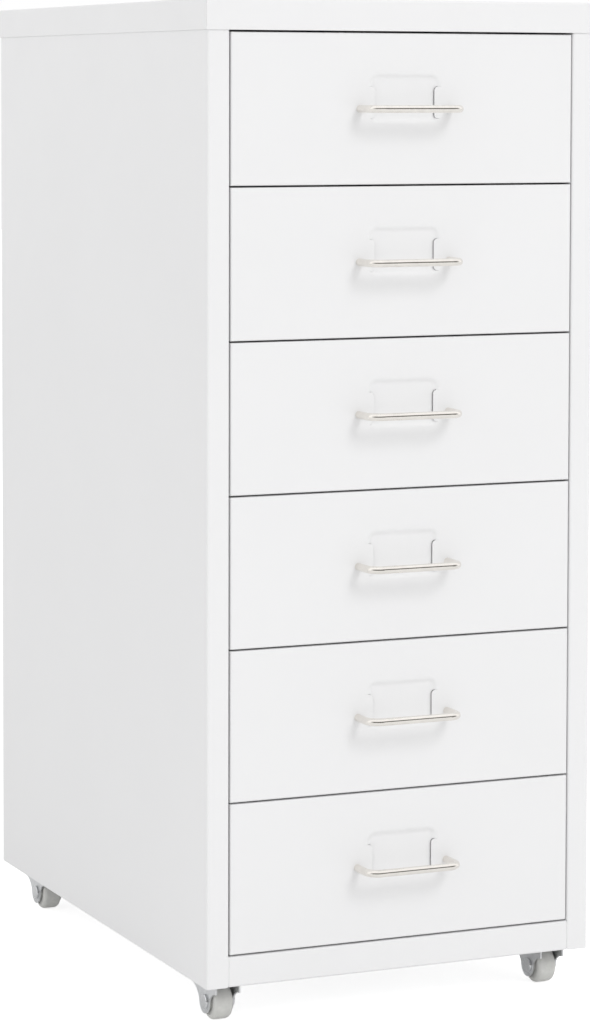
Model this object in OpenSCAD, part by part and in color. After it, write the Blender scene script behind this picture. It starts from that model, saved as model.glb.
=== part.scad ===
// Small metal drawer cabinet on four swivel casters.
// Frame: X to the right, Y to the back, Z up. The origin is on the floor, under the
// middle of the whole cabinet with its handles. All lengths are in millimetres.

/* [Cabinet] */
// Width over the lid
cabinet_w = 285; // [260:1:320]
// Depth over the lid, without handles
cabinet_d = 417; // [390:1:450]
// Height of the sheet metal body with its lid, without casters
body_h = 650.5; // [610:0.5:700]
// Thickness of the body's sheet steel
sheet = 0.8; // [0.6:0.1:1]
// Outside radius of the body's folds
fold_r = 1.6; // [1.3:0.1:2.2]
// Height of the lid's turned-down lip
lid_lip = 20.6; // [17:0.2:26]
// Distance from the lid's side to the drawer opening, seen from the front
stile_w = 16.5; // [14:0.5:20]
// Length of a stile's inner flange, front to back
stile_return = 14; // [11:0.5:17]
// Height of the front rail under the lowest drawer
rail_h = 20.3; // [18.5:0.1:26]
// Width of the side panels' rear and top flanges
flange_w = 14; // [10:0.5:18]

/* [Drawers] */
// Number of drawers
drawer_count = 6; // [5:1:6]
// Gap above, between and under the drawer fronts
front_gap = 1.2; // [1:0.1:2.5]
// Gap at each side of a drawer front
side_gap = 1; // [0.8:0.1:1.8]
// Depth of a drawer front's folded edges
front_return = 15; // [12:0.5:18]
// Thickness of the drawer tray's sheet
tray_sheet = 0.7; // [0.6:0.1:0.9]
// Length of a drawer, from its face to the tray's back
drawer_d = 385; // [365:1:388]
// Width of a drawer tray between the outsides of its walls
tray_w = 236; // [230:1:238]
// Distance from the front's lower edge to the tray's floor
tray_lift = 6; // [4:0.5:9]
// Distance from the front's upper edge down to the tray's rim
rim_drop = 15.3; // [13:0.1:22]
// Height of the turned-down edge of a tray's rim
rim_lip = 7; // [6:0.5:9]
// How far a drawer slides out
drawer_travel = 290; // [240:5:295]

/* [Runners] */
// Thickness of the runner channels
runner_sheet = 1; // [0.8:0.1:1.2]
// How far a runner's flanges reach past the drawer opening's edge
runner_reach = 4.5; // [3.5:0.5:5]

/* [Label recess] */
// Width of the pressed label recess
label_w = 55; // [50:1:60]
// Height of the pressed label recess
label_h = 35; // [34:0.5:40]
// Distance from the handle's height up to the recess's top edge
label_rise = 24.5; // [22:0.5:27]
// Depth of the recess
label_depth = 1.7; // [1.5:0.1:2]
// Width of the recess's sloping border
label_slope = 5.5; // [4:0.1:6]
// Corner radius of the recess
label_corner = 8; // [6.5:0.5:10]
// Height of the lanced lip that holds each side of a card
lip_h = 21.2; // [18:0.1:23]

/* [Handles] */
// Distance between a handle's two feet
handle_span = 66; // [60:1:96]
// Diameter of the handle's rod
handle_rod = 5.2; // [4.6:0.1:6]
// Distance from the drawer face to the front of the handle
handle_reach = 24; // [20:0.5:30]
// Bend radius of the handle at the rod's middle
handle_bend = 8; // [6:0.5:10]
// Radius of the handle screws' shank
handle_screw_r = 1.95; // [1.75:0.05:2]

/* [Casters] */
// Distance from the floor to the body's lower edge
caster_drop = 28.5; // [28:0.1:31]
// Diameter of a wheel
wheel_d = 24.8; // [23.8:0.1:25]
// Width of a wheel
wheel_w = 13.6; // [12.5:0.1:14.5]
// Rounding of a wheel's edges
wheel_round = 3; // [2:0.1:4]
// Gap between a wheel's tread and each leg of its fork
wheel_gap = 1; // [0.8:0.1:2]
// Distance from the lid's side to a caster's swivel axis
caster_side = 21.2; // [20.5:0.1:24]
// Distance from the lid's front or back to a caster's swivel axis
caster_end = 39.7; // [39:0.1:48]
// Distance from the swivel axis forward to the wheel's axle
caster_trail = 8.1; // [7.5:0.1:8.5]
// Thickness of a fork's steel
fork_sheet = 1.2; // [1:0.1:1.3]
// Distance from the axle forward to the fork's front edge
fork_front = 17.7; // [16:0.1:19]
// Distance from the axle back to the fork's rear edge
fork_rear = 24.7; // [23:0.1:27]
// Height of the fork's skirt above the floor
skirt_z = 20.6; // [19:0.1:22]
// Radius of the rounded lower end of a fork's legs
leg_r = 8.6; // [8:0.1:9]
// Radius of a wheel's axle
axle_r = 2; // [1.5:0.1:2.4]
// Radius of the axle's heads
axle_head_r = 5; // [4:0.1:5.5]
// Thickness of the axle's heads
axle_head_h = 1.5; // [1:0.1:2]
// Side of the square caster plate
plate_w = 36; // [34:0.5:37]
// Thickness of the caster plate
plate_t = 1.5; // [1.2:0.1:2]
// Distance between the caster plate's screw holes
plate_pitch = 26; // [24:0.5:27]
// Radius of the kingpin
kingpin_r = 3; // [2.5:0.1:3.5]

/* [Hidden] */
$fn = 64;
// Clearances
lid_fit = 0.1;         // between the lid's lip and the panels inside it
corner_relief = 0.3;   // gap between the floor's skirts at its rear corners
weld_gap = 0.3;        // left by the spot welds between a tray and its drawer front
seam = 0.1;            // between the front rail and the stiles
run_gap = 0.3;         // between pieces that slide or turn past each other
bore_fit = 0.05;       // round a shaft that turns in a hole
hole_fit = 0.2;        // round a screw in its clearance hole
rim_play = 1;          // over a tray's rim, inside its runner
stop_gap = 0.5;        // left at a closed drawer's stop and at an open one's
back_inset = 1;        // from the side panel's fold to the back panel's edge
bore_extra = 1;        // depth of a handle's hole beyond its screw's tip
cut = 1;               // how far a cutter runs past the face that it cuts

// Body planes
lid_proud = sheet + lid_fit;
screw_head_h = 1.8;
screw_head_r = 3.6;
screw_r = 1.9;
back_screw_l = 7;
lid_screw_l = 6;
caster_screw_l = 8;
nut_w = 6;             // across the flats
nut_h = 2.8;
handle_head_h = 2.2;
handle_head_r = 3.8;
handle_screw_l = 8;
slot_w = 0.8;          // width of a screw head's cross slot
total_d = cabinet_d - lid_proud + handle_reach + screw_head_h;
lid_back = total_d / 2 - screw_head_h;
lid_front = lid_back - cabinet_d;
lid_y = (lid_front + lid_back) / 2;
face_y = lid_front + lid_proud;
back_y = lid_back - lid_proud;
flange_y = back_y - sheet;
side_x = cabinet_w / 2 - lid_proud;
wall_x = side_x - sheet;
base_z = caster_drop;
top_z = base_z + body_h;
under_lid = top_z - sheet;
lip_z = top_z - lid_lip;
rail_z = base_z + rail_h;
web_z = rail_z - sheet;
opening_x = cabinet_w / 2 - stile_w;
opening_h = lip_z - rail_z;
rail_lip = 9;          // depth of the front rail's lower flange
stile_corner_r = 2;    // rounding of a stile's lower inner corner
back_screw_shift = 0.5; // from a rear flange's middle in to its back screws
back_screw_rise = 40;  // from the body's lower edge up to the lowest back screws
back_screw_drop = 35;  // from the lid's lip down to the highest back screws
back_screw_x = side_x - flange_w / 2 - back_screw_shift;
back_screw_low = base_z + back_screw_rise;
back_screw_pitch = (lip_z - back_screw_drop - back_screw_low) / 4;
back_screw_z = [for (k = [0:4]) back_screw_low + k * back_screw_pitch];
lid_screw_z = lip_z + lid_lip / 2;
lid_screw_x = [-0.3 * cabinet_w, 0, 0.3 * cabinet_w];

// Drawers, counted from the top
pitch = (opening_h - front_gap) / drawer_count;
front_h = pitch - front_gap;
front_w = 2 * (opening_x - side_gap);
front_inner_r = 0.3;   // inside radius of a drawer front's folds
front_r = sheet + front_inner_r;
tray_x = tray_w / 2;
rim_gap = 1;           // from a tray's rim out to the drawer opening's edge
rim_x = opening_x - rim_gap;
rim_z = front_h - rim_drop;
ledge_z = rim_z - rim_lip - run_gap;
runner_fold = 1.5;     // outside radius of a runner's folds
cap_z = rim_z + rim_play;
runner_x = opening_x - runner_reach;
runner_y = face_y + front_return + stop_gap;
runner_end_gap = 18;   // from the rear flanges forward to the runners' ends
runner_back = flange_y - sheet - runner_end_gap;
tray_flange_w = 12;    // width of the tray's flanges behind the drawer front
tray_sill = 10;        // height of the tray's lip behind the drawer front
tray_fold = 1.2;       // outside radius of the tray's folds
flange_gap = 2;        // from the sill up to the flanges
rim_start = 1;         // from a runner's front end back to where the rims start
rim_y = runner_y + rim_start;
tray_y = face_y + drawer_d;
tab_y = face_y + stile_return + stop_gap + drawer_travel;
tab_t = 1;
tab_w = 4;
tab_gap = 1;           // from a stop tab to the rim's lower edge
handle_z = front_h / 2;

// Label recess, in the drawer front's own frame
label_mid = label_rise - label_h / 2;
curve_lap = 0.002;     // how far the two curves of the recess's edge run into each other
slit_lap = 0.001;      // how far a slit's inner edge runs past the recess's floor
lip_over = 0.2;        // how far a card lip reaches over the recess's floor
lip_round = 2.5;       // rounding of a card lip's free corners
lip_slit = 0.15;       // width of the slit round a card lip's free edge
lip_rise = 4.1;        // how far the card lips' middle lies above the handle's height

// Casters
swivel_x = cabinet_w / 2 - caster_side;
axle_z = wheel_d / 2;
crown_gap = 1;         // between a wheel's top and the fork's crown
crown_z = axle_z + wheel_d / 2 + crown_gap;
crown_top = crown_z + fork_sheet;
ball_r = 1.5;
ball_ring = 8.6;       // radius of the circle that the balls' centres lie on
ball_count = 12;
ball_gap = 0.6;        // under the balls
plate_z = crown_top + ball_gap + 2 * ball_r;
plate_top = plate_z + plate_t;
plate_round = 4;       // corner radius of a caster plate
cup_t = 1.2;
cup_play = 0.7;        // round the balls, inside the cup
cup_gap = 0.5;         // from the fork's crown up to the cup
cup_r = ball_ring + ball_r + cup_play + cup_t;
cup_z = crown_top + cup_gap;
leg_x = wheel_w / 2 + wheel_gap;
leg_out = leg_x + fork_sheet;
leg_shift = 2.3;       // how far the leg's round end lies behind the axle
fork_fold = 1.8;       // outside radius of a fork's folds
head_bevel = 0.4;      // bevel of an axle head's rim
hub_wall = 3;          // from the axle out to the wheel's sunk rings
hub_r = axle_r + hub_wall;
ring_depth = 2;        // depth of the sunk ring in a wheel's side
ring_rim = 0.5;        // from a sunk ring out to the rounding of the wheel's edge
channel_sheet = 1.2;
channel_half = plate_w / 2 + channel_sheet + run_gap;
channel_flange = 5;
channel_fold = 1.6;    // outside radius of a channel's folds
kingpin_flare = 1.4;   // how far the kingpin's rivet heads stand out all round
kingpin_head_h = 0.7;
flare_room = 1;        // round the kingpin's upper rivet head, in the channel
CORNERS = ["front_left", "front_right", "rear_left", "rear_right"];
function corner_x(c) = (c == "front_left" || c == "rear_left") ? -swivel_x : swivel_x;
function corner_y(c) = (c == "front_left" || c == "front_right")
    ? lid_front + caster_end : lid_back - caster_end;

// Lower edge of a drawer's front
function drawer_z(i) = lip_z - i * pitch;
// Radius of the arc that leaves a level edge and drops dz over a distance dx
function sag_r(dx, dz) = (dx * dx + dz * dz) / (2 * dz);

white = [0.93, 0.93, 0.93];
zinc = [0.78, 0.79, 0.8];
chrome = [0.85, 0.84, 0.82];
grey_plastic = [0.76, 0.77, 0.74];

// ---- Shapes that repeat ----

function unit(v) = v / norm(v);

// Section of a sheet folded square: path is the middle of the sheet, r the outside radius
module folded(path, t, r) {
    m = r - t / 2;
    last = len(path) - 2;
    for (i = [0:last]) {
        u = unit(path[i + 1] - path[i]);
        a = path[i] + (i == 0 ? [0, 0] : m * u);
        b = path[i + 1] - (i == last ? [0, 0] : m * u);
        translate(a) rotate(atan2(u.y, u.x)) translate([0, -t / 2]) square([norm(b - a), t]);
    }
    for (i = [1:last]) {
        u = unit(path[i] - path[i - 1]);
        v = unit(path[i + 1] - path[i]);
        translate(path[i] + m * (v - u)) rotate(atan2(u.y - v.y, u.x - v.x) - 45) intersection() {
            difference() {
                circle(r);
                circle(r - t);
            }
            square(r);
        }
    }
}

// Extrusions of a section drawn in XZ along Y, and of one drawn in YZ along X
module along_y(y0, y1) {
    translate([0, y1, 0]) rotate([90, 0, 0]) linear_extrude(y1 - y0) children();
}

module along_x(x0, x1) {
    translate([x0, 0, 0]) rotate([90, 0, 90]) linear_extrude(x1 - x0) children();
}

// Door-shaped outline, w wide and h high, with its two upper corners rounded
module arch(w, h, r) {
    translate([-w / 2, 0]) square([w, h - r]);
    translate([-w / 2 + r, 0]) square([w - 2 * r, h]);
    for (s = [-1, 1]) translate([s * (w / 2 - r), h - r]) circle(r);
}

// Block on z = 0 whose upper edges are rounded all round
module pillow(w, d, h, r) {
    intersection() {
        along_y(-d / 2, d / 2) arch(w, h, r);
        along_x(-w / 2, w / 2) arch(d, h, r);
    }
}

// Upside-down tray of folded sheet, open below
module pan(w, d, h, t, r) {
    difference() {
        pillow(w, d, h, r);
        translate([0, 0, -cut]) pillow(w - 2 * t, d - 2 * t, h - t + cut, r - t);
    }
}

module rounded_plate(w, d, h, r) {
    linear_extrude(h) {
        square([w - 2 * r, d], center = true);
        square([w, d - 2 * r], center = true);
        for (x = [-1, 1], y = [-1, 1]) translate([x * (w / 2 - r), y * (d / 2 - r)]) circle(r);
    }
}

// Pan-head screw along +Z: the head's seat is at z = 0, the head is below it
module screw(shank_r, length, head_r, head_h) {
    bevel = 0.35 * head_h;
    difference() {
        union() {
            cylinder(r = shank_r, h = length);
            translate([0, 0, bevel - head_h]) cylinder(r = head_r, h = head_h - bevel);
            translate([0, 0, -head_h]) cylinder(r1 = head_r - bevel, r2 = head_r, h = bevel);
        }
        for (a = [0, 90]) rotate(a) translate([0, 0, -head_h])
            cube([head_r, slot_w, head_h], center = true);
    }
}

module nut(bore_r, width, h) {
    difference() {
        cylinder(r = width / sqrt(3), h = h, $fn = 6);
        translate([0, 0, -cut]) cylinder(r = bore_r, h = h + 2 * cut);
    }
}

// ---- Cabinet body ----

module top_panel() color(white) {
    difference() {
        translate([0, lid_y, lip_z]) pan(cabinet_w, cabinet_d, lid_lip, sheet, fold_r);
        for (x = lid_screw_x) translate([x, lid_back, lid_screw_z]) rotate([90, 0, 0])
            cylinder(r = screw_r + hole_fit, h = 4 * sheet, center = true);
    }
}

// Right side panel: rear flange, wall, front stile and its inner flange from one sheet.
// Beside the front rail the stile stays flat and ends in a cut edge.
module side_panel() {
    h = sheet / 2;
    wall_top = under_lid - 2 * fold_r;
    stile_mid = (side_x + opening_x) / 2;
    difference() {
        union() {
            translate([0, 0, base_z]) linear_extrude(wall_top - base_z) folded([
                [side_x - flange_w, flange_y - h],
                [side_x - h, flange_y - h],
                [side_x - h, face_y + h],
                [stile_mid, face_y + h]
            ], sheet, fold_r);
            translate([0, 0, rail_z]) linear_extrude(wall_top - rail_z) folded([
                [stile_mid + fold_r, face_y + h],
                [opening_x + h, face_y + h],
                [opening_x + h, face_y + stile_return]
            ], sheet, fold_r);
            translate([opening_x, face_y, base_z])
                cube([stile_mid + fold_r - opening_x, sheet, rail_h]);
        }
        stile_corner();
        for (z = back_screw_z) translate([back_screw_x, flange_y, z]) rotate([90, 0, 0])
            cylinder(r = screw_r + bore_fit, h = 4 * sheet, center = true);
    }
    along_y(face_y + 2 * fold_r, flange_y - 2 * fold_r) folded([
        [side_x - h, wall_top - fold_r],
        [side_x - h, under_lid - h],
        [side_x - flange_w, under_lid - h]
    ], sheet, fold_r);
}

// Rounding of a stile's lower inner corner
module stile_corner() {
    r = stile_corner_r;
    along_y(face_y - cut, face_y + stile_return + cut) translate([opening_x, base_z]) difference() {
        translate([-cut, -cut]) square(r + cut);
        translate([r, r]) circle(r);
    }
}

module side_panel_right() color(white) side_panel();

module side_panel_left() color(white) mirror([1, 0, 0]) side_panel();

module back_panel() color(white) {
    w = 2 * (side_x - fold_r - back_inset);
    top = under_lid - fold_r;
    difference() {
        translate([-w / 2, back_y - sheet, base_z]) cube([w, sheet, top - base_z]);
        for (s = [-1, 1], z = back_screw_z) translate([s * back_screw_x, back_y, z])
            rotate([90, 0, 0]) cylinder(r = screw_r + hole_fit, h = 4 * sheet, center = true);
        for (x = lid_screw_x) translate([x, back_y, lid_screw_z])
            rotate([90, 0, 0]) cylinder(r = screw_r + bore_fit, h = 4 * sheet, center = true);
    }
}

// Floor of the cabinet with the front rail and the side and rear skirts turned down from it.
// Beside the rail it runs on under the stiles' inner flanges and shuts the stiles' hollows.
module bottom_panel() color(white) {
    tongue = face_y + fold_r + seam;
    shoulder = face_y + stile_return + seam;
    rear = flange_y - sheet;
    rail_x = opening_x - seam;
    corner = fold_r - sheet + corner_relief;
    along_x(-rail_x, rail_x) folded([
        [face_y + rail_lip, base_z + sheet / 2],
        [face_y + sheet / 2, base_z + sheet / 2],
        [face_y + sheet / 2, rail_z - sheet / 2],
        [shoulder + fold_r, rail_z - sheet / 2]
    ], sheet, fold_r);
    translate([-wall_x, tongue, web_z]) cube([2 * wall_x, rear - corner - tongue, sheet]);
    translate([corner - wall_x, shoulder, web_z])
        cube([2 * (wall_x - corner), rear - shoulder, sheet]);
    for (s = [-1, 1]) translate([s * (wall_x - sheet / 2) - sheet / 2, shoulder, base_z])
        cube([sheet, rear - corner - shoulder, rail_z - base_z]);
    translate([corner - wall_x, rear - sheet, base_z])
        cube([2 * (wall_x - corner), sheet, rail_z - base_z]);
}

// Top-hat channel across the underside of the floor, which two casters are screwed to
module caster_channel(y) color(white) {
    m = channel_sheet / 2;
    half = channel_half - m;
    difference() {
        translate([0, y, 0]) along_x(-wall_x + 2 * sheet, wall_x - 2 * sheet) folded([
            [-half - channel_flange, web_z - m],
            [-half, web_z - m],
            [-half, plate_top + m],
            [half, plate_top + m],
            [half, web_z - m],
            [half + channel_flange, web_z - m]
        ], channel_sheet, channel_fold);
        for (s = [-1, 1]) translate([s * swivel_x, y, plate_top]) {
            cylinder(r = kingpin_r + kingpin_flare + flare_room, h = 3 * channel_sheet, center = true);
            plate_holes(screw_r + hole_fit, 3 * channel_sheet);
        }
    }
}

module caster_channel_front() caster_channel(lid_front + caster_end);

module caster_channel_rear() caster_channel(lid_back - caster_end);

module plate_holes(r, h) {
    for (x = [-1, 1], y = [-1, 1]) translate([x * plate_pitch / 2, y * plate_pitch / 2, 0])
        cylinder(r = r, h = h, center = true);
}

// Two C-section channels that carry the rims of one drawer's tray
module runner_pair(i) color(white) {
    h = runner_sheet / 2;
    z = drawer_z(i);
    for (s = [0, 1]) mirror([s, 0, 0]) along_y(runner_y, runner_back) folded([
        [runner_x, z + ledge_z - h],
        [wall_x - h, z + ledge_z - h],
        [wall_x - h, z + cap_z + h],
        [runner_x, z + cap_z + h]
    ], runner_sheet, runner_fold);
}

// ---- Drawers: each piece is drawn with the front's lower edge at z = 0 ----

// Section of the label recess from its edge inward, sunk by extra, with half its floor.
// Two equal arcs make the slope, and extra is zero on the front and one sheet on the back.
module label_section(floor_half, extra) {
    r = sag_r(label_slope / 2, label_depth / 2);
    lean = atan2(label_slope / 2, r - label_depth / 2);
    x_turn = label_slope / 2 - extra * sin(lean);
    y_turn = label_depth / 2 + extra * cos(lean);
    difference() {
        square([label_slope, y_turn]);
        translate([0, r]) circle(r - extra + curve_lap);
    }
    intersection() {
        translate([x_turn / 2, 0]) square([label_slope, label_depth + extra]);
        translate([label_slope, label_depth - r]) circle(r + extra + curve_lap);
    }
    translate([label_slope, 0]) square([floor_half, label_depth + extra]);
}

// Solid of the label recess: its mouth is at z = 0 and it deepens towards -Z
module label_recess(extra) {
    w = label_w / 2;
    h = label_h / 2;
    for (s = [0, 1]) mirror([s, 0, 0])
        along_y(label_corner - h, h - label_corner)
            mirror([0, 1]) translate([-w, 0]) label_section(w - label_slope, extra);
    for (s = [0, 1]) mirror([0, s, 0])
        along_x(label_corner - w, w - label_corner)
            mirror([0, 1]) translate([-h, 0]) label_section(h - label_slope, extra);
    for (x = [-1, 1], y = [-1, 1])
        translate([x * (w - label_corner), y * (h - label_corner), 0]) rotate_extrude()
            mirror([0, 1]) translate([label_corner, 0]) mirror([1, 0])
                label_section(label_corner - label_slope, extra);
}

// Outline of one card lip, widened by grow, with its free edge on x = 0 and its root at +X
module lip_outline(grow) {
    w = label_slope + lip_over + grow;
    h = lip_h / 2 + grow;
    translate([lip_round, -h]) square([w - lip_round, 2 * h]);
    translate([0, lip_round - h]) square([w, 2 * (h - lip_round)]);
    for (s = [-1, 1]) translate([lip_round, s * (h - lip_round)]) circle(lip_round);
}

// The drawer front faces +Z here and is turned forward by drawer_front
module front_panel() {
    floor_x = label_w / 2 - label_slope;
    difference() {
        union() {
            translate([0, 0, -front_return]) pan(front_w, front_h, front_return, sheet, front_r);
            translate([0, label_mid, 0]) label_recess(sheet);
        }
        translate([0, label_mid, 0]) label_recess(0);
        for (s = [0, 1]) mirror([s, 0, 0]) translate([floor_x, lip_rise, -label_depth - 2 * sheet])
            linear_extrude(label_depth + 3 * sheet) translate([-slit_lap, 0]) difference() {
                lip_outline(lip_slit);
                translate([lip_round, -lip_h]) square([label_slope, 2 * lip_h]);
            }
        for (s = [-1, 1]) translate([s * handle_span / 2, 0, 0])
            cylinder(r = handle_screw_r + hole_fit, h = 4 * sheet, center = true);
    }
    for (s = [0, 1]) mirror([s, 0, 0]) translate([floor_x - lip_over, lip_rise, -sheet])
        linear_extrude(sheet) lip_outline(0);
}

module drawer_front(i) color(white) {
    translate([0, face_y, drawer_z(i) + handle_z]) rotate([90, 0, 0]) front_panel();
}

// Folded tray: floor, walls and hooked rims from one sheet, with a welded back
module drawer_tray(i) color(white) {
    h = tray_sheet / 2;
    r = tray_fold;
    back = tray_y - tray_sheet;
    start = face_y + sheet + weld_gap;
    lip_end = rim_z - rim_lip;
    inner_x = tray_x - tray_sheet;
    flange_z = tray_lift + tray_sheet + tray_sill + flange_gap;
    translate([0, 0, drawer_z(i)]) {
        difference() {
            along_y(start, tray_y) folded([
                [-rim_x + h, lip_end],
                [-rim_x + h, rim_z - h],
                [-tray_x + h, rim_z - h],
                [-tray_x + h, tray_lift + h],
                [tray_x - h, tray_lift + h],
                [tray_x - h, rim_z - h],
                [rim_x - h, rim_z - h],
                [rim_x - h, lip_end]
            ], tray_sheet, r);
            for (s = [-1, 1]) translate([s * (tray_x + rim_x), start, rim_z])
                cube([2 * rim_x, 2 * (rim_y - start), 3 * rim_lip], center = true);
        }
        translate([-inner_x, back, tray_lift + tray_sheet])
            cube([2 * inner_x, tray_sheet, rim_z - r - tray_lift - tray_sheet]);
        translate([r - inner_x, start, tray_lift + tray_sheet])
            cube([2 * (inner_x - r), tray_sheet, tray_sill]);
        for (s = [-1, 1]) translate([s * (inner_x - tray_flange_w / 2), start, flange_z])
            translate([-tray_flange_w / 2, 0, 0])
                cube([tray_flange_w, tray_sheet, rim_z - 2 * r - flange_z]);
        for (s = [-1, 1]) translate([s * (rim_x + tab_w / 2) - tab_w / 2, tab_y, lip_end + tab_gap])
            cube([tab_w, tab_t, rim_lip - 3 * tab_gap]);
    }
}

// Wire bow handle with a blind screw hole in each foot
module drawer_handle(i) color(chrome) {
    r = handle_rod / 2;
    bar = handle_reach - r;
    half = handle_span / 2;
    translate([0, face_y, drawer_z(i) + handle_z]) difference() {
        union() {
            translate([handle_bend - half, -bar, 0]) rotate([0, 90, 0])
                cylinder(r = r, h = handle_span - 2 * handle_bend);
            for (s = [0, 1]) mirror([s, 0, 0]) {
                translate([half, 0, 0]) rotate([90, 0, 0]) cylinder(r = r, h = bar - handle_bend);
                translate([half - handle_bend, handle_bend - bar, 0]) rotate([0, 0, -90])
                    rotate_extrude(angle = 90) translate([handle_bend, 0]) circle(r);
            }
        }
        for (s = [-1, 1]) translate([s * half, cut, 0]) rotate([90, 0, 0])
            cylinder(r = handle_screw_r + bore_fit, h = cut + handle_screw_l - sheet + bore_extra);
    }
}

module handle_screws(i) color(zinc) {
    for (s = [-1, 1]) translate([s * handle_span / 2, face_y + sheet, drawer_z(i) + handle_z])
        rotate([90, 0, 0]) screw(handle_screw_r, handle_screw_l, handle_head_r, handle_head_h);
}

// ---- Casters: each piece is drawn round the swivel axis and moved to its corner ----

module at_corner(c) {
    translate([corner_x(c), corner_y(c), 0]) children();
}

// Square top plate with the ball race's cup turned down under it
module caster_plate(c) color(zinc) at_corner(c) {
    difference() {
        union() {
            translate([0, 0, plate_z]) rounded_plate(plate_w, plate_w, plate_t, plate_round);
            translate([0, 0, cup_z]) cylinder(r = cup_r, h = plate_z - cup_z);
        }
        translate([0, 0, cup_z - cut]) cylinder(r = cup_r - cup_t, h = plate_z - cup_z + cut);
        translate([0, 0, plate_z + plate_t / 2]) {
            cylinder(r = kingpin_r + bore_fit, h = 2 * plate_t, center = true);
            plate_holes(screw_r + hole_fit, 2 * plate_t);
        }
    }
}

// Kingpin rivet and the ring of balls between the plate and the fork
module caster_pivot(c) color(zinc) at_corner(c) {
    head_z = crown_z - run_gap;
    translate([0, 0, head_z]) cylinder(r = kingpin_r, h = plate_top - head_z);
    translate([0, 0, head_z - kingpin_head_h])
        cylinder(r = kingpin_r + kingpin_flare, h = kingpin_head_h);
    translate([0, 0, plate_top]) cylinder(r = kingpin_r + kingpin_flare, h = channel_sheet);
    for (k = [0:ball_count - 1]) rotate(k * 360 / ball_count)
        translate([ball_ring, 0, plate_z - ball_r]) sphere(ball_r);
}

// Side view of the fork in YZ, with y = 0 on the axle
module fork_outline() {
    drop = skirt_z - axle_z;
    front_dx = fork_front - leg_r + leg_shift;
    rear_dx = fork_rear - leg_r - leg_shift;
    translate([-fork_front, skirt_z]) square([fork_front + fork_rear, crown_top - skirt_z]);
    difference() {
        translate([-fork_front, axle_z]) square([fork_front + fork_rear, drop]);
        translate([-fork_front, skirt_z - sag_r(front_dx, drop)]) circle(sag_r(front_dx, drop));
        translate([fork_rear, skirt_z - sag_r(rear_dx, drop)]) circle(sag_r(rear_dx, drop));
    }
    translate([leg_shift, axle_z]) circle(leg_r);
}

module caster_fork(c) color(zinc) at_corner(c) {
    m = fork_sheet / 2;
    difference() {
        intersection() {
            along_y(-caster_trail - fork_front, fork_rear - caster_trail) folded([
                [-leg_out + m, 0],
                [-leg_out + m, crown_top - m],
                [leg_out - m, crown_top - m],
                [leg_out - m, 0]
            ], fork_sheet, fork_fold);
            along_x(-leg_out, leg_out) translate([-caster_trail, 0]) fork_outline();
        }
        translate([0, 0, crown_z - cut]) cylinder(r = kingpin_r + bore_fit, h = fork_sheet + 2 * cut);
        translate([0, -caster_trail, axle_z]) rotate([0, 90, 0])
            cylinder(r = axle_r + bore_fit, h = 4 * leg_out, center = true);
    }
}

module caster_axle(c) color(zinc) at_corner(c) {
    bevel = head_bevel;
    translate([0, -caster_trail, axle_z]) rotate([0, 90, 0]) {
        cylinder(r = axle_r, h = 2 * leg_out, center = true);
        for (s = [0, 1]) mirror([0, 0, s]) translate([0, 0, leg_out]) {
            cylinder(r = axle_head_r, h = axle_head_h - bevel);
            translate([0, 0, axle_head_h - bevel])
                cylinder(r1 = axle_head_r, r2 = axle_head_r - bevel, h = bevel);
        }
    }
}

// Wheel turned about its axle, with a long hub and a ring sunk in each side round it
module caster_wheel(c) color(grey_plastic) at_corner(c) {
    r = wheel_d / 2;
    w = wheel_w / 2;
    translate([0, -caster_trail, axle_z]) rotate([0, 90, 0]) rotate_extrude() difference() {
        union() {
            translate([0, wheel_round - w]) square([r, 2 * (w - wheel_round)]);
            translate([0, -w]) square([r - wheel_round, 2 * w]);
            translate([0, run_gap - leg_x]) square([hub_r, 2 * (leg_x - run_gap)]);
            for (s = [-1, 1]) translate([r - wheel_round, s * (w - wheel_round)])
                circle(wheel_round);
        }
        translate([-cut, -leg_x]) square([cut + axle_r + bore_fit, 2 * leg_x]);
        for (s = [-1, 1]) translate([hub_r, s * w - ring_depth])
            square([r - wheel_round - ring_rim - hub_r, 2 * ring_depth]);
    }
}

// ---- Screws of the body ----

module back_screws() color(zinc) {
    for (s = [-1, 1], z = back_screw_z) translate([s * back_screw_x, back_y, z])
        rotate([90, 0, 0]) screw(screw_r, back_screw_l, screw_head_r, screw_head_h);
}

module lid_screws() color(zinc) {
    for (x = lid_screw_x) translate([x, lid_back, lid_screw_z])
        rotate([90, 0, 0]) screw(screw_r, lid_screw_l, screw_head_r, screw_head_h);
}

// Each caster plate's four screws, from below, with their nuts in the channel
module caster_screws() color(zinc) {
    for (c = CORNERS) at_corner(c) for (x = [-1, 1], y = [-1, 1])
        translate([x * plate_pitch / 2, y * plate_pitch / 2, 0]) {
            translate([0, 0, plate_z]) screw(screw_r, caster_screw_l, screw_head_r, screw_head_h);
            translate([0, 0, plate_top + channel_sheet]) nut(screw_r + bore_fit, nut_w, nut_h);
        }
}

top_panel();
side_panel_left();
side_panel_right();
back_panel();
bottom_panel();
caster_channel_front();
caster_channel_rear();
for (i = [1:drawer_count]) {
    runner_pair(i);
    drawer_front(i);
    drawer_tray(i);
    drawer_handle(i);
    handle_screws(i);
}
for (c = CORNERS) {
    caster_plate(c);
    caster_pivot(c);
    caster_fork(c);
    caster_axle(c);
    caster_wheel(c);
}
back_screws();
lid_screws();
caster_screws();
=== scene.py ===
import math

import bmesh
import bpy
from bpy.props import FloatProperty, FloatVectorProperty, PointerProperty
from bpy.types import Operator, Panel, PropertyGroup
from mathutils import Matrix, Vector


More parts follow.
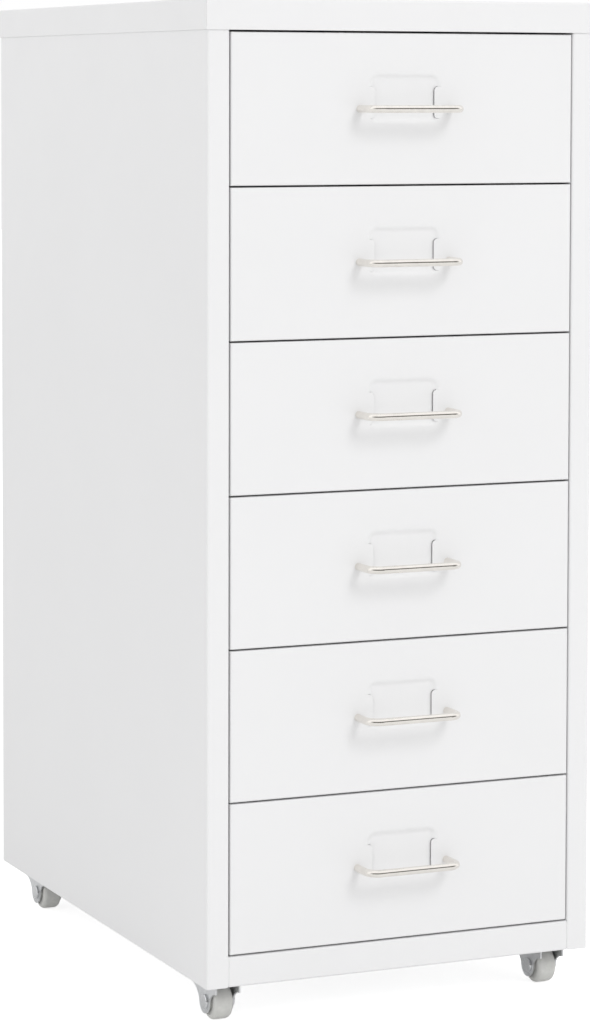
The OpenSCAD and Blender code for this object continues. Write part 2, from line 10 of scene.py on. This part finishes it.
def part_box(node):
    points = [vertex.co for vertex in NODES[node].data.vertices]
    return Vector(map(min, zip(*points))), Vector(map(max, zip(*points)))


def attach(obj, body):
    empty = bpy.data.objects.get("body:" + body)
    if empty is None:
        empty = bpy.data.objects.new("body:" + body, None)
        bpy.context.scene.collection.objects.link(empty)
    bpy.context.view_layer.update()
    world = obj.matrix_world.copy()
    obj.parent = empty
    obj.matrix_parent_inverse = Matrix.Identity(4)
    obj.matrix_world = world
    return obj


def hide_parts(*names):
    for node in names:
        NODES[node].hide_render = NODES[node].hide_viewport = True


bl_info = {
    "name": "Steel Drawer Cabinet",
    "version": (1, 0, 0),
    "blender": (4, 5, 0),
    "location": "3D View > Sidebar > Drawer Cabinet",
    "description": "Finishes the sheet steel drawer cabinet and sets up its studio",
    "category": "Object",
}

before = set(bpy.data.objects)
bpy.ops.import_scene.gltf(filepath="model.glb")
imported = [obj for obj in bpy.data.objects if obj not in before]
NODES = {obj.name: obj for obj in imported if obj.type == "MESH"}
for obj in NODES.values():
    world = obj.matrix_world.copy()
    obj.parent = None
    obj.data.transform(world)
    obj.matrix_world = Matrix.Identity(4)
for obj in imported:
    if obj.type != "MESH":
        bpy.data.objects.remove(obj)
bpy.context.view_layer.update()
DRAWERS = range(1, 7)
CORNERS = ("front_left", "front_right", "rear_left", "rear_right")

# Rounding that a finish gives to cut sheet edges, in metres
COAT_EDGE = 0.0004
ZINC_EDGE = 0.0003

# Height of the fine relief of the harder finishes, in metres
DRAW_LINE_DEPTH = 0.000004
ZINC_GRAIN_DEPTH = 0.000008
PLASTIC_GRAIN_DEPTH = 0.00001

PAINT_IOR = 1.5
PLASTIC_IOR = 1.53

# How much smoother the turned axles and pivots are than the stamped steel
TURNED_GLOSS = 0.18

# Details of a wheel's section, in metres, and how finely it is turned
BOSS_CHAMFER = 0.0003
TREAD_CROWN = 0.00006
RIM_STEP = 0.0008
EDGE_STEPS = 8
WHEEL_SIDES = 96
SHARP_ANGLE = math.radians(35.0)

# Floor: half its side, how far it lies under the wheels, its own light and the camera's
FLOOR_REACH = 12.0
FLOOR_GAP = 0.0002
FLOOR_GLOW = 0.13
FLOOR_GLOW_SEEN = 0.7
FLOOR_DARK = (0.78, 0.78, 0.78)
FLOOR_LIGHT = (0.8, 0.8, 0.8)

# Lamps: where they stand, what they face, and how wide they are
KEY_PLACE, KEY_TARGET, KEY_SIZE = (1.15, -4.1, 3.4), (0.0, -0.15, 0.3), 2.0
FILL_PLACE, FILL_TARGET, FILL_SIZE = (-4.6, -0.8, 2.2), (-0.1, 0.0, 0.3), 2.4

# What bright metal reflects of the studio: its level, and the dark end's warm grey
STUDIO_WHITE = (1.1, 1.1, 1.1)
DARK_END_TONE = (1.0, 0.95, 0.88)

SENSOR_SIDE = 36.0
CLIP_START, CLIP_END = 0.05, 60.0


# ---------------------------------------------------------------------------
# Settings
# ---------------------------------------------------------------------------


class CabinetPaint(PropertyGroup):
    """White powder coat on the sheet steel"""

    colour: FloatVectorProperty(
        name="Paint",
        description="Colour of the powder coat",
        subtype="COLOR",
        size=3,
        min=0.0,
        max=1.0,
        default=(0.86, 0.86, 0.865),
    )
    roughness: FloatProperty(
        name="Roughness",
        description="Mean roughness of the powder coat",
        subtype="FACTOR",
        min=0.0,
        max=1.0,
        default=0.36,
    )
    peel_size: FloatProperty(
        name="Orange Peel Size",
        description="Distance between the ripples of the sprayed coat",
        subtype="DISTANCE",
        unit="LENGTH",
        default=0.0016,
    )
    peel_depth: FloatProperty(
        name="Orange Peel Depth",
        description="Height of the ripples of the sprayed coat",
        subtype="DISTANCE",
        unit="LENGTH",
        precision=6,
        default=0.000012,
    )
    sheet_wave: FloatProperty(
        name="Sheet Wave",
        description="How far a large panel stands off dead flat",
        subtype="DISTANCE",
        unit="LENGTH",
        precision=5,
        default=0.00015,
    )


class CabinetMetal(PropertyGroup):
    """Bright plated steel of the handles and the zinc plated steel of the casters"""

    chrome: FloatVectorProperty(
        name="Handle Plating",
        description="Colour of the bright plating on the handles",
        subtype="COLOR",
        size=3,
        min=0.0,
        max=1.0,
        default=(0.86, 0.83, 0.785),
    )
    chrome_roughness: FloatProperty(
        name="Handle Roughness",
        description="Roughness of the bright plating",
        subtype="FACTOR",
        min=0.0,
        max=1.0,
        default=0.1,
    )
    zinc: FloatVectorProperty(
        name="Zinc",
        description="Colour of the zinc plating on the casters and screws",
        subtype="COLOR",
        size=3,
        min=0.0,
        max=1.0,
        default=(0.72, 0.73, 0.74),
    )
    zinc_roughness: FloatProperty(
        name="Zinc Roughness",
        description="Roughness of the zinc plating",
        subtype="FACTOR",
        min=0.0,
        max=1.0,
        default=0.34,
    )


class CabinetWheels(PropertyGroup):
    """Moulded plastic of the wheels and the sizes of their section"""

    colour: FloatVectorProperty(
        name="Wheel Plastic",
        description="Colour of the wheels",
        subtype="COLOR",
        size=3,
        min=0.0,
        max=1.0,
        default=(0.66, 0.66, 0.635),
    )
    roughness: FloatProperty(
        name="Wheel Roughness",
        description="Roughness of the moulded plastic",
        subtype="FACTOR",
        min=0.0,
        max=1.0,
        default=0.42,
    )
    width: FloatProperty(
        name="Tread Width",
        description="Width of a wheel over its rim",
        subtype="DISTANCE",
        unit="LENGTH",
        default=0.0136,
    )
    edge: FloatProperty(
        name="Edge Radius",
        description="Rounding between a wheel's tread and its side",
        subtype="DISTANCE",
        unit="LENGTH",
        default=0.003,
    )
    hub: FloatProperty(
        name="Hub Radius",
        description="Radius of the boss round the axle",
        subtype="DISTANCE",
        unit="LENGTH",
        default=0.005,
    )
    bore: FloatProperty(
        name="Bore Radius",
        description="Radius of the hole that the axle runs in",
        subtype="DISTANCE",
        unit="LENGTH",
        default=0.00205,
    )
    dish: FloatProperty(
        name="Dish Depth",
        description="How far a wheel's side is sunk inside its rim",
        subtype="DISTANCE",
        unit="LENGTH",
        precision=5,
        default=0.0004,
    )


class CabinetStudio(PropertyGroup):
    """Camera and light"""

    eye: FloatVectorProperty(
        name="Camera Place",
        description="Where the camera stands",
        subtype="TRANSLATION",
        unit="LENGTH",
        size=3,
        default=(-0.9803, -2.2474, 0.6200),
    )
    yaw: FloatProperty(
        name="Yaw",
        description="How far the camera is turned to the right of straight on",
        subtype="ANGLE",
        unit="ROTATION",
        default=math.radians(23.716),
    )
    pitch: FloatProperty(
        name="Pitch",
        description="How far the camera looks down",
        subtype="ANGLE",
        unit="ROTATION",
        default=math.radians(3.316),
    )
    roll: FloatProperty(
        name="Roll",
        description="Tilt of the camera about its own axis",
        subtype="ANGLE",
        unit="ROTATION",
        default=math.radians(0.126),
    )
    lens: FloatProperty(
        name="Lens",
        description="Focal length in millimetres on a 36 mm long side",
        default=120.09,
    )
    drop: FloatProperty(
        name="Frame Drop",
        description="Vertical shift of the frame in parts of its long side",
        default=-0.2197,
    )
    sky: FloatProperty(
        name="Sky",
        description="Level of the even light from all round",
        min=0.0,
        default=0.81,
    )
    key: FloatProperty(
        name="Key Power",
        description="Power of the large soft lamp in front",
        subtype="POWER",
        unit="POWER",
        min=0.0,
        default=60.0,
    )
    fill: FloatProperty(
        name="Fill Power",
        description="Power of the soft lamp on the left",
        subtype="POWER",
        unit="POWER",
        min=0.0,
        default=13.0,
    )
    card: FloatProperty(
        name="Dark End",
        description="Brightness of the studio's dark end as bright metal reflects it",
        subtype="FACTOR",
        min=0.0,
        max=1.0,
        default=0.14,
    )


# ---------------------------------------------------------------------------
# Node helpers
# ---------------------------------------------------------------------------


def material(name):
    mat = bpy.data.materials.new(name)
    mat.use_nodes = True
    tree = mat.node_tree
    tree.nodes.clear()
    out = tree.nodes.new("ShaderNodeOutputMaterial")
    shader = tree.nodes.new("ShaderNodeBsdfPrincipled")
    tree.links.new(shader.outputs["BSDF"], out.inputs["Surface"])
    return mat, tree, shader


def place(tree, stretch=(1.0, 1.0, 1.0)):
    """Object coordinates in metres, stretched along the axes."""
    coord = tree.nodes.new("ShaderNodeTexCoord")
    mapping = tree.nodes.new("ShaderNodeMapping")
    mapping.inputs["Scale"].default_value = stretch
    tree.links.new(coord.outputs["Object"], mapping.inputs["Vector"])
    return mapping.outputs["Vector"]


def noise(tree, vector, scale, detail=2.0, rough=0.5):
    node = tree.nodes.new("ShaderNodeTexNoise")
    node.inputs["Scale"].default_value = scale
    node.inputs["Detail"].default_value = detail
    node.inputs["Roughness"].default_value = rough
    tree.links.new(vector, node.inputs["Vector"])
    return node.outputs["Fac"]


def times(tree, first, second):
    node = tree.nodes.new("ShaderNodeMath")
    node.operation = "MULTIPLY"
    tree.links.new(first, node.inputs[0])
    tree.links.new(second, node.inputs[1])
    return node.outputs["Value"]


def span(tree, value, low, high, start=0.3, end=0.7):
    """Maps the range start..end of a value to low..high."""
    node = tree.nodes.new("ShaderNodeMapRange")
    node.inputs["From Min"].default_value = start
    node.inputs["From Max"].default_value = end
    node.inputs["To Min"].default_value = low
    node.inputs["To Max"].default_value = high
    tree.links.new(value, node.inputs["Value"])
    return node.outputs["Result"]


def tint(tree, value, dark, light):
    node = tree.nodes.new("ShaderNodeMix")
    node.data_type = "RGBA"
    node.inputs["A"].default_value = (*dark, 1.0)
    node.inputs["B"].default_value = (*light, 1.0)
    tree.links.new(value, node.inputs["Factor"])
    return node.outputs["Result"]


def bump(tree, height, distance, normal=None):
    node = tree.nodes.new("ShaderNodeBump")
    node.inputs["Strength"].default_value = 1.0
    node.inputs["Distance"].default_value = distance
    tree.links.new(height, node.inputs["Height"])
    if normal is not None:
        tree.links.new(normal, node.inputs["Normal"])
    return node.outputs["Normal"]


def soft_edges(tree, radius):
    """Rounds cut sheet edges in the shading, as the thick coat does."""
    node = tree.nodes.new("ShaderNodeBevel")
    node.samples = 4
    node.inputs["Radius"].default_value = radius
    return node.outputs["Normal"]


def shade(colour, factor):
    return tuple(min(1.0, c * factor) for c in colour)


def mottle(tree, shader, value, colour, dark, light):
    """Runs the base colour between two shades of one colour."""
    mixed = tint(tree, value, shade(colour, dark), shade(colour, light))
    tree.links.new(mixed, shader.inputs["Base Color"])


def vary_roughness(tree, shader, value, mean, under, over):
    """Runs the roughness from under to over its mean."""
    tree.links.new(span(tree, value, mean - under, mean + over), shader.inputs["Roughness"])


def finish_nodes(names, mat):
    for name in names:
        obj = NODES.get(name)
        if obj is None:
            raise RuntimeError("the packed model has no piece " + name)
        slots = obj.material_slots
        if not slots:
            obj.data.materials.append(mat)
        for slot in slots:
            slot.material = mat


# ---------------------------------------------------------------------------
# Finishes
# ---------------------------------------------------------------------------


def powder_coat(name, paint, wave_scale=4.0, wave=1.0, painted_shade_lightness=1.0):
    """Sprayed and baked white coat: orange peel, slow sheet waves, soft cut edges, and a
    colour that can be darkened as painted shade.
    """
    mat, tree, shader = material(name)
    where = place(tree)
    cloud = noise(tree, where, scale=9.0, detail=3.0, rough=0.6)
    # A lightness under one darkens the coat's colour as painted shade, for pieces that sit
    # inside the body
    colour = shade(paint.colour, painted_shade_lightness)
    mottle(tree, shader, span(tree, cloud, 0.0, 1.0), colour, dark=0.992, light=1.006)
    patches = noise(tree, where, scale=35.0, detail=4.0, rough=0.55)
    vary_roughness(tree, shader, patches, paint.roughness, under=0.04, over=0.05)
    shader.inputs["IOR"].default_value = PAINT_IOR
    normal = soft_edges(tree, COAT_EDGE)
    slow = noise(tree, where, scale=wave_scale, detail=1.0, rough=0.4)
    normal = bump(tree, slow, paint.sheet_wave * wave, normal)
    peel = noise(tree, where, scale=1.0 / paint.peel_size, detail=2.0, rough=0.5)
    normal = bump(tree, peel, paint.peel_depth, normal)
    tree.links.new(normal, shader.inputs["Normal"])
    return mat


def bright_plating(name, metal):
    """Bright plated rod: mirror-like, with a faint haze and fine draw lines along it."""
    mat, tree, shader = material(name)
    along = place(tree, (0.03, 1.0, 1.0))
    lines = noise(tree, along, scale=2600.0, detail=3.0, rough=0.6)
    haze = noise(tree, place(tree), scale=160.0, detail=3.0, rough=0.6)
    mottle(tree, shader, span(tree, haze, 0.0, 1.0), metal.chrome, dark=0.95, light=1.03)
    shader.inputs["Metallic"].default_value = 1.0
    vary_roughness(tree, shader, haze, metal.chrome_roughness, under=0.05, over=0.06)
    tree.links.new(bump(tree, lines, DRAW_LINE_DEPTH), shader.inputs["Normal"])
    return mat


def zinc_plating(name, metal, stretch=(1.0, 1.0, 1.0), gloss=0.0):
    """Bright zinc on steel: faint spangle, rubbed patches, fine grain, soft cut edges."""
    mat, tree, shader = material(name)
    where = place(tree, stretch)
    spangle = tree.nodes.new("ShaderNodeTexVoronoi")
    spangle.inputs["Scale"].default_value = 420.0
    tree.links.new(where, spangle.inputs["Vector"])
    split = tree.nodes.new("ShaderNodeSeparateColor")
    tree.links.new(spangle.outputs["Color"], split.inputs["Color"])
    flakes = span(tree, split.outputs["Red"], 0.0, 1.0, start=0.0, end=1.0)
    mottle(tree, shader, flakes, metal.zinc, dark=0.96, light=1.03)
    shader.inputs["Metallic"].default_value = 1.0
    upright = place(tree, (1.0, 1.0, 0.15))
    rub = noise(tree, upright, scale=900.0, detail=4.0, rough=0.6)
    vary_roughness(tree, shader, rub, metal.zinc_roughness - gloss, under=0.07, over=0.1)
    normal = soft_edges(tree, ZINC_EDGE)
    grain = noise(tree, where, scale=1400.0, detail=3.0, rough=0.6)
    tree.links.new(bump(tree, grain, ZINC_GRAIN_DEPTH, normal), shader.inputs["Normal"])
    return mat


def moulded_plastic(name, wheels):
    """Light grey nylon, slightly mottled, with a fine moulded grain."""
    mat, tree, shader = material(name)
    where = place(tree)
    cloud = noise(tree, where, scale=240.0, detail=4.0, rough=0.6)
    mottle(tree, shader, span(tree, cloud, 0.0, 1.0), wheels.colour, dark=0.94, light=1.05)
    vary_roughness(tree, shader, cloud, wheels.roughness, under=0.06, over=0.1)
    shader.inputs["IOR"].default_value = PLASTIC_IOR
    grain = noise(tree, where, scale=3200.0, detail=2.0, rough=0.5)
    tree.links.new(bump(tree, grain, PLASTIC_GRAIN_DEPTH), shader.inputs["Normal"])
    return mat


# ---------------------------------------------------------------------------
# Operators, one for each piece or group of like pieces
# ---------------------------------------------------------------------------


class CABINET_OT_lid(Operator):
    """Finish the lid pan in powder coat"""

    bl_idname = "cabinet.lid"
    bl_label = "Lid"

    def execute(self, context):
        finish_nodes(["top_panel"], powder_coat("lid_paint", context.scene.cabinet_paint))
        return {"FINISHED"}


class CABINET_OT_panels(Operator):
    """Finish the side panels, the back panel and the folded floor"""

    bl_idname = "cabinet.panels"
    bl_label = "Body Panels"

    def execute(self, context):
        paint = context.scene.cabinet_paint
        finish_nodes(
            ["side_panel_left", "side_panel_right", "back_panel"],
            powder_coat("panel_paint", paint, wave_scale=3.0, wave=1.4),
        )
        finish_nodes(
            ["bottom_panel"], powder_coat("floor_paint", paint, wave_scale=5.0, wave=0.6)
        )
        return {"FINISHED"}


class CABINET_OT_inner_steel(Operator):
    """Finish the runners and the caster channels, their coat a shade darker as painted shade
    inside the body
    """

    bl_idname = "cabinet.inner_steel"
    bl_label = "Runners and Channels"

    def execute(self, context):
        names = [f"runner_pair_{i}" for i in DRAWERS]
        names += ["caster_channel_front", "caster_channel_rear"]
        paint = context.scene.cabinet_paint
        # the lightness of 0.97 is painted shade for these parts inside the body
        finish_nodes(
            names,
            powder_coat("inner_paint_shaded", paint, wave_scale=12.0, wave=0.3, painted_shade_lightness=0.97),
        )
        return {"FINISHED"}


class CABINET_OT_drawer_fronts(Operator):
    """Finish the drawer fronts with their label recesses and card lips"""

    bl_idname = "cabinet.drawer_fronts"
    bl_label = "Drawer Fronts"

    def execute(self, context):
        paint = context.scene.cabinet_paint
        finish_nodes(
            [f"drawer_front_{i}" for i in DRAWERS],
            powder_coat("front_paint", paint, wave_scale=7.0, wave=0.6),
        )
        return {"FINISHED"}


class CABINET_OT_drawer_trays(Operator):
    """Finish the folded trays, their coat a shade darker as painted shade"""

    bl_idname = "cabinet.drawer_trays"
    bl_label = "Drawer Trays"

    def execute(self, context):
        paint = context.scene.cabinet_paint
        # the lightness of 0.98 is painted shade for the trays inside the drawers
        finish_nodes(
            [f"drawer_tray_{i}" for i in DRAWERS],
            powder_coat("tray_paint_shaded", paint, wave_scale=6.0, wave=0.8, painted_shade_lightness=0.98),
        )
        return {"FINISHED"}


class CABINET_OT_handles(Operator):
    """Finish the bow handles in bright plating"""

    bl_idname = "cabinet.handles"
    bl_label = "Handles"

    def execute(self, context):
        finish_nodes(
            [f"drawer_handle_{i}" for i in DRAWERS],
            bright_plating("handle_plating", context.scene.cabinet_metal),
        )
        return {"FINISHED"}


class CABINET_OT_casters(Operator):
    """Finish the forks, plates, pivots and axles in zinc"""

    bl_idname = "cabinet.casters"
    bl_label = "Caster Steel"

    def execute(self, context):
        metal = context.scene.cabinet_metal
        steel = zinc_plating("fork_zinc", metal)
        turned = zinc_plating("axle_zinc", metal, (0.3, 1.0, 1.0), TURNED_GLOSS)
        for corner in CORNERS:
            finish_nodes([f"caster_fork_{corner}", f"caster_plate_{corner}"], steel)
            finish_nodes([f"caster_axle_{corner}", f"caster_pivot_{corner}"], turned)
        return {"FINISHED"}


def wheel_section(wheels, reach, radius):
    """Half of a wheel's section from the bore out to the middle of its tread, as (x, r)."""
    half = wheels.width / 2
    floor = half - wheels.dish
    rim = radius - wheels.edge - RIM_STEP
    points = [
        (reach, wheels.bore),
        (reach, wheels.hub - BOSS_CHAMFER),
        (reach - BOSS_CHAMFER, wheels.hub),
        (floor, wheels.hub),
        (floor, rim),
        (half, rim + wheels.dish),
    ]
    for k in range(EDGE_STEPS + 1):
        turn = math.pi / 2 * k / EDGE_STEPS
        points.append(
            (
                half - wheels.edge * (1.0 - math.cos(turn)),
                radius - TREAD_CROWN - wheels.edge * (1.0 - math.sin(turn)),
            )
        )
    points.append((0.0, radius))
    return points


def turned_wheel(name, node, wheels):
    """A moulded wheel turned about its axle, with a low dish and a boss on each side."""
    low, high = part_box(node)
    reach, radius = (high.x - low.x) / 2, (high.z - low.z) / 2
    right = wheel_section(wheels, reach, radius)
    section = right + [(-x, r) for x, r in reversed(right[:-1])]
    work = bmesh.new()
    rings = []
    for k in range(WHEEL_SIDES):
        turn = 2 * math.pi * k / WHEEL_SIDES
        rings.append(
            [work.verts.new((x, r * math.cos(turn), r * math.sin(turn))) for x, r in section]
        )
    count = len(section)
    for k in range(WHEEL_SIDES):
        here, there = rings[k], rings[(k + 1) % WHEEL_SIDES]
        for j in range(count):
            after = (j + 1) % count
            work.faces.new((here[j], here[after], there[after], there[j]))
    bmesh.ops.recalc_face_normals(work, faces=work.faces)
    mesh = bpy.data.meshes.new(name)
    work.to_mesh(mesh)
    work.free()
    mesh.shade_smooth()
    mesh.set_sharp_from_angle(angle=SHARP_ANGLE)
    wheel = bpy.data.objects.new(name, mesh)
    bpy.context.scene.collection.objects.link(wheel)
    wheel.location = (low + high) / 2
    return wheel


class CABINET_OT_wheels(Operator):
    """Turn the wheels and finish them in moulded grey plastic"""

    bl_idname = "cabinet.wheels"
    bl_label = "Wheels"

    def execute(self, context):
        wheels = context.scene.cabinet_wheels
        plastic = moulded_plastic("wheel_plastic_grain", wheels)
        for corner in CORNERS:
            node = f"caster_wheel_{corner}"
            if node not in NODES:
                raise RuntimeError("the packed model has no piece " + node)
            wheel = turned_wheel(f"moulded_wheel_{corner}", node, wheels)
            wheel.data.materials.append(plastic)
            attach(wheel, f"wheel_{corner}")
            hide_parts(node)
        return {"FINISHED"}


class CABINET_OT_screws(Operator):
    """Finish all screws and nuts in zinc"""

    bl_idname = "cabinet.screws"
    bl_label = "Screws"

    def execute(self, context):
        names = [f"handle_screws_{i}" for i in DRAWERS]
        names += ["back_screws", "lid_screws", "caster_screws"]
        finish_nodes(names, zinc_plating("screw_zinc", context.scene.cabinet_metal))
        return {"FINISHED"}


def studio_floor(name):
    """Pale floor: white to the camera, still taking a soft shadow."""
    mat, tree, shader = material(name)
    spots = noise(tree, place(tree), scale=6.0, detail=3.0, rough=0.5)
    tree.links.new(
        tint(tree, span(tree, spots, 0.0, 1.0), FLOOR_DARK, FLOOR_LIGHT),
        shader.inputs["Base Color"],
    )
    shader.inputs["Roughness"].default_value = 0.9
    shader.inputs["Specular IOR Level"].default_value = 0.1
    path = tree.nodes.new("ShaderNodeLightPath")
    glow = tree.nodes.new("ShaderNodeEmission")
    glow.inputs["Color"].default_value = (1.0, 1.0, 1.0, 1.0)
    seen = path.outputs["Is Camera Ray"]
    tree.links.new(
        span(tree, seen, FLOOR_GLOW, FLOOR_GLOW_SEEN, start=0.0, end=1.0),
        glow.inputs["Strength"],
    )
    add = tree.nodes.new("ShaderNodeAddShader")
    tree.links.new(shader.outputs["BSDF"], add.inputs[0])
    tree.links.new(glow.outputs["Emission"], add.inputs[1])
    out = next(n for n in tree.nodes if n.type == "OUTPUT_MATERIAL")
    tree.links.new(add.outputs["Shader"], out.inputs["Surface"])
    return mat


def studio_world(level, card):
    """Even light all round. The camera sees white, and bright metal sees a white studio
    with the dark end that the camera stands at."""
    world = bpy.data.worlds.new("studio")
    bpy.context.scene.world = world
    world.use_nodes = True
    tree = world.node_tree
    tree.nodes.clear()
    out = tree.nodes.new("ShaderNodeOutputWorld")
    soft = tree.nodes.new("ShaderNodeBackground")
    soft.inputs["Color"].default_value = (1.0, 1.0, 1.0, 1.0)
    soft.inputs["Strength"].default_value = level
    white = tree.nodes.new("ShaderNodeBackground")
    white.inputs["Color"].default_value = (1.0, 1.0, 1.0, 1.0)
    white.inputs["Strength"].default_value = 1.0
    coord = tree.nodes.new("ShaderNodeTexCoord")
    split = tree.nodes.new("ShaderNodeSeparateXYZ")
    tree.links.new(coord.outputs["Generated"], split.inputs["Vector"])
    below = span(tree, split.outputs["Z"], 1.0, 0.0, start=0.32, end=0.56)
    above = span(tree, split.outputs["Z"], 0.0, 1.0, start=-0.18, end=-0.06)
    front = span(tree, split.outputs["Y"], 1.0, 0.0, start=-0.65, end=-0.2)
    both = times(tree, times(tree, below, above), front)
    studio = tree.nodes.new("ShaderNodeBackground")
    studio.inputs["Strength"].default_value = 1.0
    dark_end = tuple(card * tone for tone in DARK_END_TONE)
    tree.links.new(tint(tree, both, STUDIO_WHITE, dark_end), studio.inputs["Color"])
    path = tree.nodes.new("ShaderNodeLightPath")
    shiny = tree.nodes.new("ShaderNodeMixShader")
    tree.links.new(path.outputs["Is Glossy Ray"], shiny.inputs["Fac"])
    tree.links.new(soft.outputs["Background"], shiny.inputs[1])
    tree.links.new(studio.outputs["Background"], shiny.inputs[2])
    seen = tree.nodes.new("ShaderNodeMixShader")
    tree.links.new(path.outputs["Is Camera Ray"], seen.inputs["Fac"])
    tree.links.new(shiny.outputs["Shader"], seen.inputs[1])
    tree.links.new(white.outputs["Background"], seen.inputs[2])
    tree.links.new(seen.outputs["Shader"], out.inputs["Surface"])


def area_lamp(name, place_at, target, size, power):
    """Round soft lamp that lights surfaces but isn't mirrored in bright metal."""
    data = bpy.data.lights.new(name, "AREA")
    data.shape = "DISK"
    data.size = size
    data.energy = power
    lamp = bpy.data.objects.new(name, data)
    bpy.context.scene.collection.objects.link(lamp)
    lamp.location = place_at
    lamp.rotation_mode = "QUATERNION"
    aim = Vector(target) - Vector(place_at)
    lamp.rotation_quaternion = aim.to_track_quat("-Z", "Y")
    lamp.visible_glossy = False


class CABINET_OT_studio(Operator):
    """Lay the floor, light the studio and set the camera"""

    bl_idname = "cabinet.studio"
    bl_label = "Studio"

    def execute(self, context):
        studio = context.scene.cabinet_studio
        mesh = bpy.data.meshes.new("studio_floor")
        work = bmesh.new()
        bmesh.ops.create_grid(work, x_segments=8, y_segments=8, size=FLOOR_REACH)
        work.to_mesh(mesh)
        work.free()
        floor = bpy.data.objects.new("studio_floor", mesh)
        floor.location = (0.0, 0.0, -FLOOR_GAP)
        context.scene.collection.objects.link(floor)
        floor.data.materials.append(studio_floor("floor_white"))

        studio_world(studio.sky, studio.card)
        area_lamp("key", KEY_PLACE, KEY_TARGET, KEY_SIZE, studio.key)
        area_lamp("fill", FILL_PLACE, FILL_TARGET, FILL_SIZE, studio.fill)

        data = bpy.data.cameras.new("camera")
        data.sensor_width = SENSOR_SIDE
        data.lens = studio.lens
        data.shift_y = studio.drop
        data.clip_start = CLIP_START
        data.clip_end = CLIP_END
        camera = bpy.data.objects.new("camera", data)
        context.scene.collection.objects.link(camera)
        yaw, pitch, roll = studio.yaw, studio.pitch, studio.roll
        ahead = Vector(
            (
                math.sin(yaw) * math.cos(pitch),
                math.cos(yaw) * math.cos(pitch),
                -math.sin(pitch),
            )
        )
        right = Vector((math.cos(yaw), -math.sin(yaw), 0.0))
        up = right.cross(ahead)
        side = math.cos(roll) * right + math.sin(roll) * up
        top = -math.sin(roll) * right + math.cos(roll) * up
        turn = Matrix((side, top, -ahead)).transposed()
        camera.matrix_world = Matrix.Translation(Vector(studio.eye)) @ turn.to_4x4()
        context.scene.camera = camera
        context.scene.view_settings.view_transform = "Standard"
        return {"FINISHED"}


class CABINET_PT_panel(Panel):
    """Lists the cabinet's settings and steps"""

    bl_label = "Drawer Cabinet"
    bl_idname = "CABINET_PT_panel"
    bl_space_type = "VIEW_3D"
    bl_region_type = "UI"
    bl_category = "Drawer Cabinet"

    def draw(self, context):
        layout = self.layout
        for group in (
            context.scene.cabinet_paint,
            context.scene.cabinet_metal,
            context.scene.cabinet_wheels,
            context.scene.cabinet_studio,
        ):
            box = layout.box()
            for key in group.__annotations__:
                box.prop(group, key)
        column = layout.column(align=True)
        for step in STEPS:
            column.operator(step.bl_idname)


GROUPS = (
    ("cabinet_paint", CabinetPaint),
    ("cabinet_metal", CabinetMetal),
    ("cabinet_wheels", CabinetWheels),
    ("cabinet_studio", CabinetStudio),
)

STEPS = (
    CABINET_OT_lid,
    CABINET_OT_panels,
    CABINET_OT_inner_steel,
    CABINET_OT_drawer_fronts,
    CABINET_OT_drawer_trays,
    CABINET_OT_handles,
    CABINET_OT_casters,
    CABINET_OT_wheels,
    CABINET_OT_screws,
    CABINET_OT_studio,
)


def register():
    for _, group in GROUPS:
        bpy.utils.register_class(group)
    for step in STEPS:
        bpy.utils.register_class(step)
    bpy.utils.register_class(CABINET_PT_panel)
    for name, group in GROUPS:
        setattr(bpy.types.Scene, name, PointerProperty(type=group))


def unregister():
    for name, _ in GROUPS:
        delattr(bpy.types.Scene, name)
    bpy.utils.unregister_class(CABINET_PT_panel)
    for step in reversed(STEPS):
        bpy.utils.unregister_class(step)
    for _, group in reversed(GROUPS):
        bpy.utils.unregister_class(group)


def main():
    register()
    for step in STEPS:
        group, name = step.bl_idname.split(".")
        getattr(getattr(bpy.ops, group), name)()
    bpy.context.view_layer.update()


if __name__ == "__main__":
    main()
